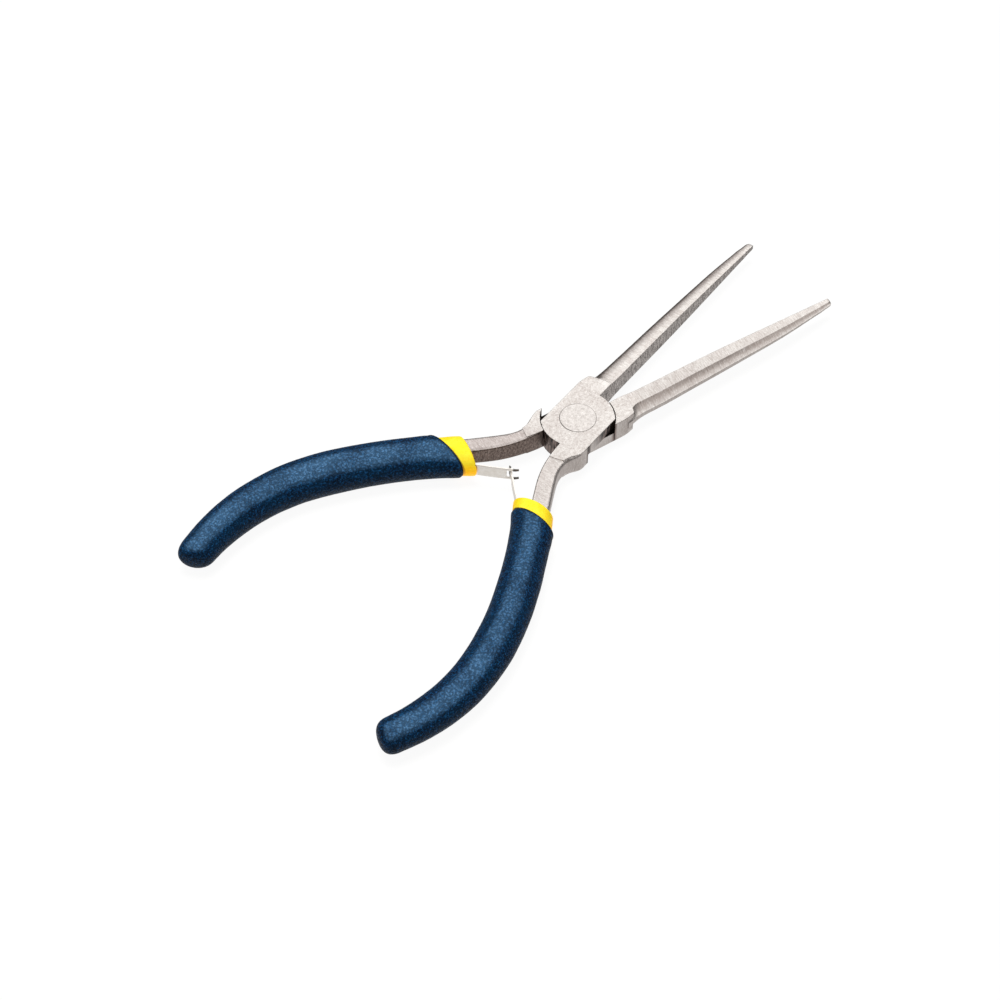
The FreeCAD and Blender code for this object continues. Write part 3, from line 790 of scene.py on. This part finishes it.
    # painted shade: crevices found by occlusion are darkened
    crevice = ramp(mat.occlusion(distance=0.0030), over=(0.62, 0.20))
    base = mat.mix(product(crevice, 0.85), base, rgb(62, 52, 47))
    # painted shade: the mating faces, the wall of the lap and the ring round the joint are
    # near black where the recess lies in shade, with lighter streaks away from the mating
    # faces
    streak = ramp(mat.streaks(mm, scale=(2.6, 2.6, 0.30), detail=2.0, rough=0.6),
                  over=(0.42, 0.60))
    recess_shade = mat.maximum(mat.maximum(mating, lap_wall), ring)
    recess_shade_colour = mat.mix(product(streak, mat.invert(mating)), rgb(24, 17, 15), rgb(142, 126, 120))
    base = mat.mix(recess_shade, base, recess_shade_colour)
    # edges rubbed bright
    covered = mat.maximum(recess_shade, mat.maximum(crotch, grip))
    edge = product(ramp(geometry["Pointiness"], over=(0.52, 0.62)), mat.invert(covered))
    base = mat.mix(product(edge, 0.35), base, rgb(240, 238, 236))
    # edges are smoother, crevices rougher
    rough = mat.add(ramp(grain, **GRAIN_ROUGH), mat.centred(along, by=0.12))
    rough = mat.subtract(rough, product(edge, 0.08))
    rough = mat.add(rough, product(crevice, 0.12))
    normal = mat.bump(grain, **GRAIN_BUMP, normal=soft_edge)
    normal = mat.bump(cloud, strength=0.25, distance=0.00010, normal=normal)
    return mat.principled(base, rough, normal, Metallic=1.0)


def rivet_steel():
    """Mottled steel with a thin dark seam round the flush head."""
    mat = new_shader("rivet_steel")
    mm = mat.millimetres()
    x, y, _ = mat.split(mm)
    radius = mat.radius(x, y)
    mottle = mat.noise(mm, scale=1.7, detail=3.0, rough=0.70)
    speck = mat.noise(mm, scale=3.8, detail=2.0, rough=0.6)
    grain = mat.weighted((mottle, 0.6), (speck, 0.4))
    base = mat.mix(mat.ramp(grain, over=(0.32, 0.68)), rgb(184, 178, 174),
                   rgb(238, 234, 231))
    # the seam wanders a little and is darker on one side
    wobble = mat.centred(mat.noise(mm, scale=0.9, detail=3.0, rough=0.6), by=0.16)
    seam = mat.ramp(mat.add(radius, wobble), over=(3.40, 3.54))
    around = mat.math("SINE", mat.add(mat.math("ARCTAN2", y, x), -0.9))
    seam = mat.product(seam, mat.ramp(around, over=(-0.6, 0.9), to=(0.35, 0.95)))
    base = mat.mix(seam, base, rgb(60, 52, 48))
    return mat.principled(base, mat.ramp(grain, **GRAIN_ROUGH),
                          mat.bump(grain, **GRAIN_BUMP), Metallic=1.0)


def spring_steel():
    """Bright rolled strip with darkened ends."""
    mat = new_shader("spring_steel")
    geometry = mat.node("NewGeometry").outputs
    mm = mat.millimetres()
    rolled = mat.streaks(mm, scale=(0.35, 0.35, 5.0), detail=3.0, rough=0.6,
                         turn=(0, 0, math.radians(-35)))
    spot = mat.noise(mm, scale=1.4, detail=4.0, rough=0.6)
    base = mat.mix(mat.ramp(spot, over=(0.35, 0.7)), rgb(236, 231, 224),
                   rgb(248, 245, 240))
    base = mat.mix(mat.ramp(rolled, over=(0.55, 0.38), to=(0.0, 0.30)), base,
                   rgb(214, 206, 198))
    dark_end = mat.node("Attribute", attribute_name="dark_end").outputs["Fac"]
    base = mat.mix(mat.product(dark_end, 0.92), base, rgb(48, 42, 38))
    edge = mat.ramp(geometry["Pointiness"], over=(0.53, 0.60))
    base = mat.mix(mat.product(edge, 0.4), base, rgb(244, 242, 238))
    # just short of full metal, so the strip keeps its light tone seen on edge
    return mat.principled(base, mat.ramp(rolled, over=(0.3, 0.7), to=(0.34, 0.50)),
                          mat.bump(rolled, strength=0.35, distance=0.00003),
                          Metallic=0.95)


def ahead_of_lip(mat, mm, tag):
    """Distance in mm of a point ahead of the sleeve's lip plane."""
    u, v, turn = SIDES[tag]["lip"]
    nu, nv = math.cos(math.radians(turn)), math.sin(math.radians(turn))
    origin, front = place(tag, [(u, v, 0.0), (u + nu, v + nv, 0.0)]) * 1000.0
    nx, ny, _ = front - origin
    distance = mat.dot(mm, (float(nx), float(ny), 0.0))
    return mat.subtract(distance, float(nx * origin[0] + ny * origin[1]))


def navy_plastic(tag):
    """Dipped navy plastic with a fine leathery grain."""
    mat = new_shader("sleeve_navy_" + tag)
    geometry = mat.node("NewGeometry").outputs
    mm = mat.millimetres()
    warp = mat.node("TexNoise", {"Vector": mm, "Scale": 1.1, "Detail": 2.0}).outputs["Color"]
    warp = mat.node("VectorMath", {0: warp, "Scale": 0.5}, operation="SCALE").outputs[0]
    warped = mat.node("VectorMath", {0: mm, 1: warp}, operation="ADD").outputs[0]
    coarse = mat.cells(warped, scale=1.9, smoothness=0.30)
    small = mat.cells(warped, scale=3.4, smoothness=0.25)
    fine = mat.noise(mm, scale=3.4, detail=3.0, rough=0.65)
    cloud = mat.noise(mm, scale=0.16, detail=3.0, rough=0.6)
    patch = mat.noise(mm, scale=0.9, detail=3.0, rough=0.55)
    grain = mat.weighted((mat.invert(coarse), 0.50), (mat.invert(small), 0.30),
                         (fine, 0.60))
    # dark hollows and blue crests, with clouds, patches and lighter flecks
    base = mat.mix(mat.ramp(grain, over=(0.72, 0.95)), rgb(0, 9, 28), rgb(8, 50, 92))
    base = mat.mix(mat.ramp(cloud, over=(0.35, 0.65), to=(0.0, 0.35)), base, rgb(0, 38, 62))
    base = mat.mix(mat.ramp(patch, over=(0.55, 0.75), to=(0.0, 0.20)), base,
                   rgb(28, 62, 96))
    fleck = mat.ramp(mat.noise(mm, scale=2.9, detail=2.0, rough=0.7), over=(0.53, 0.66))
    base = mat.mix(mat.product(fleck, 0.62), base, rgb(26, 84, 132))
    # painted highlight: the crest of the grip, facing halfway between the viewer and the
    # overhead light, is painted paler along the grain
    lean = mat.dot(geometry["Normal"], (-0.20, -0.22, 0.955))
    painted_highlight = mat.product(mat.ramp(lean, over=(0.80, 0.985), smooth=True),
                        mat.ramp(grain, over=(0.66, 0.92), to=(0.35, 1.0)))
    painted_highlight = mat.product(painted_highlight, mat.ramp(cloud, over=(0.30, 0.62), to=(0.35, 0.80)))
    base = mat.mix(painted_highlight, base, rgb(88, 130, 170))
    # paler edges; painted shade darkens the crevices found by occlusion
    edge = mat.ramp(geometry["Pointiness"], over=(0.51, 0.56))
    base = mat.mix(mat.product(edge, 0.20), base, rgb(46, 80, 118))
    base = mat.mix(mat.ramp(mat.occlusion(distance=0.0012), over=(0.78, 0.3)), base,
                   rgb(4, 9, 16))
    # painted shade: the rolled lip is nearly black where it meets the yellow
    base = mat.mix(mat.ramp(ahead_of_lip(mat, mm, tag), over=(-0.42, -0.10), to=(0.0, 0.85)),
                   base, rgb(2, 6, 14))
    rough = mat.add(mat.ramp(grain, over=(0.6, 1.0), to=(0.60, 0.34)),
                    mat.centred(patch, by=0.12))
    normal = mat.bump(grain, strength=1.0, distance=0.00022)
    normal = mat.bump(patch, strength=0.35, distance=0.00020, normal=normal)
    return mat.principled(base, rough, normal, Specular_IOR_Level=0.17,
                          Specular_Tint=(0.45, 0.75, 1.0, 1.0))


def yellow_plastic(tag):
    """Soft yellow under-layer, smooth with faint moulding ripple."""
    mat = new_shader("liner_yellow_" + tag)
    mm = mat.millimetres()
    cloud = mat.noise(mm, scale=0.5, detail=3.0, rough=0.6)
    fine = mat.noise(mm, scale=3.4, detail=4.0, rough=0.6)
    base = mat.mix(mat.ramp(cloud, over=(0.35, 0.65)), rgb(232, 206, 18), rgb(240, 220, 50))
    base = mat.mix(mat.ramp(fine, over=(0.5, 0.75), to=(0.0, 0.45)), base, rgb(226, 178, 8))
    # painted shade: deeper, more orange towards the underside
    z = mat.split(mm)[2]
    base = mat.mix(mat.ramp(z, over=(4.4, 1.2), to=(0.0, 0.95)), base, rgb(255, 190, 6))
    # painted shade: darker in crevices found by occlusion
    crevice = mat.ramp(mat.occlusion(distance=0.0014), over=(0.80, 0.35), to=(0.0, 0.95))
    base = mat.mix(crevice, base, rgb(118, 78, 6))
    # shadowed seam under the sleeve's lip
    base = mat.mix(mat.ramp(ahead_of_lip(mat, mm, tag), over=(0.34, 0.12), to=(0.0, 0.90)),
                   base, rgb(44, 36, 18))
    normal = mat.bump(fine, strength=0.30, distance=0.00006)
    normal = mat.bump(cloud, strength=0.30, distance=0.00020, normal=normal)
    # the emission stands for light soaking through to the underside
    return mat.principled(
        base, mat.ramp(fine, over=(0.3, 0.7), to=(0.40, 0.55)), normal,
        Subsurface_Weight=0.10, Subsurface_Scale=0.0008,
        Subsurface_Radius=(1.0, 0.6, 0.15), Specular_IOR_Level=0.35,
        Emission_Color=rgb(255, 176, 0),
        Emission_Strength=mat.ramp(z, over=(4.4, 1.4), to=(0.02, 0.90)))


def floor_white():
    """Mostly self-lit white that still takes a faint shadow."""
    mat = new_shader("floor_white")
    diffuse = mat.node("BsdfDiffuse", {"Color": (0.93, 0.93, 0.93, 1)})
    glow = mat.node("Emission", {"Color": (1, 1, 1, 1), "Strength": 1.0})
    return mat.finish(mat.node("MixShader", {
        "Fac": 0.93, 1: diffuse.outputs[0], 2: glow.outputs[0]}))


# ------------------------------------------------------------------
# build
# ------------------------------------------------------------------
def set_material(ob, material):
    ob.data.materials.clear()
    ob.data.materials.append(material)


steels = {"half_" + tag: steel(tag) for tag in "ab"}
rivet = rivet_steel()
for rivet_name in ("pivot_rivet", "spring_rivet_a", "spring_rivet_b"):
    steels[rivet_name] = rivet
spring = spring_steel()
navy = {tag: navy_plastic(tag) for tag in "ab"}
yellow = {tag: yellow_plastic(tag) for tag in "ab"}

for name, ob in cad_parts.items():
    if name in steels:
        set_material(ob, steels[name])
    elif "sleeve" in name:
        set_material(ob, navy[name[-1]])
    elif "liner" in name:
        set_material(ob, yellow[name[-1]])
    else:
        set_material(ob, spring)

for tag in "ab":
    for build, layer, slot, colours in ((sleeve, "grip_sleeve_", "sleeve_navy", navy),
                                        (liner, "grip_liner_", "liner_yellow", yellow)):
        ob = build(tag)
        set_material(ob, colours[tag])
        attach(ob, SIDES[tag]["body"])
        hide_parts(layer + tag)
    set_material(leaf(tag), spring)

# ------------------------------------------------------------------
# stage, light and camera, in metres
# ------------------------------------------------------------------
FLOOR_Z = -0.0019
FLOOR_HALF = 2
# brightness of the surroundings from straight down (0) to straight up (1)
SKY = ((0.0, 0.90), (0.10, 1.02), (0.18, 0.74), (0.27, 0.34), (0.36, 0.15), (0.50, 0.11),
       (0.61, 0.20), (0.70, 1.20), (0.76, 2.05), (0.83, 1.66), (0.88, 1.28), (0.94, 1.05),
       (1.0, 0.82))
DIFFUSE_SHARE = 0.48    # strength of the surroundings on matt surfaces
KEY_PLACE, KEY_TARGET = Vector((-0.03, 0.05, 0.60)), Vector((-0.02, 0.0, 0.0))
CAMERA_PLACE = (-0.16997, -0.1633, 0.2832)
CAMERA_FORWARD = (0.4135, 0.4512, -0.7909)
CAMERA_RIGHT = (0.7373, -0.6756, 0.0)

scene = bpy.context.scene


def add_to_scene(name, data):
    ob = bpy.data.objects.new(name, data)
    scene.collection.objects.link(ob)
    return ob


def add_floor():
    mesh = bpy.data.meshes.new("floor")
    corners = ((-1, -1), (1, -1), (1, 1), (-1, 1))
    mesh.from_pydata([(x * FLOOR_HALF, y * FLOOR_HALF, FLOOR_Z) for x, y in corners],
                     [], [(0, 1, 2, 3)])
    floor = add_to_scene("floor", mesh)
    floor.data.materials.append(floor_white())
    floor.visible_glossy = False
    floor.visible_diffuse = False


def add_sky():
    scene.world = bpy.data.worlds.new("studio")
    sky = Shader(scene.world, "OutputWorld")
    height = sky.split(sky.node("TexCoord").outputs["Generated"])[2]
    colours = sky.node("ValToRGB", {"Fac": sky.ramp(height, over=(-1.0, 1.0))})
    stops = colours.color_ramp.elements

    def warm(level):
        return (level, level * 0.985, level * 0.97, 1)

    stops[0].color, stops[1].color = warm(SKY[0][1]), warm(SKY[-1][1])
    for position, level in SKY[1:-1]:
        stops.new(position).color = warm(level)
    # matt surfaces are lit mostly by the key light, so that they keep their modelling
    diffuse_ray = sky.node("LightPath").outputs["Is Diffuse Ray"]
    strength = sky.ramp(diffuse_ray, over=(0.0, 1.0), to=(1.0, DIFFUSE_SHARE))
    sky.finish(sky.node("Background", {"Color": colours.outputs[0], "Strength": strength}))


def add_key_light():
    light = bpy.data.lights.new("key_overhead", "AREA")
    light.shape, light.size = "DISK", 0.26
    light.energy, light.color = 3.4, (1.0, 0.985, 0.96)
    key = add_to_scene("key_overhead", light)
    key.location = KEY_PLACE
    key.rotation_euler = (KEY_TARGET - KEY_PLACE).to_track_quat("-Z", "Y").to_euler()
    key.visible_glossy = False


def add_camera():
    data = bpy.data.cameras.new("camera")
    data.sensor_width, data.lens = 36.0, 68.0976
    data.clip_start = 0.001
    camera = add_to_scene("camera", data)
    forward = Vector(CAMERA_FORWARD).normalized()
    right = Vector(CAMERA_RIGHT).normalized()
    up = right.cross(forward).normalized()
    turn = Matrix((right, up, -forward)).transposed()
    camera.matrix_world = Matrix.Translation(CAMERA_PLACE) @ turn.to_4x4()
    scene.camera = camera


add_floor()
add_sky()
add_key_light()
add_camera()
scene.view_settings.view_transform = "Standard"
scene.view_settings.look = "None"
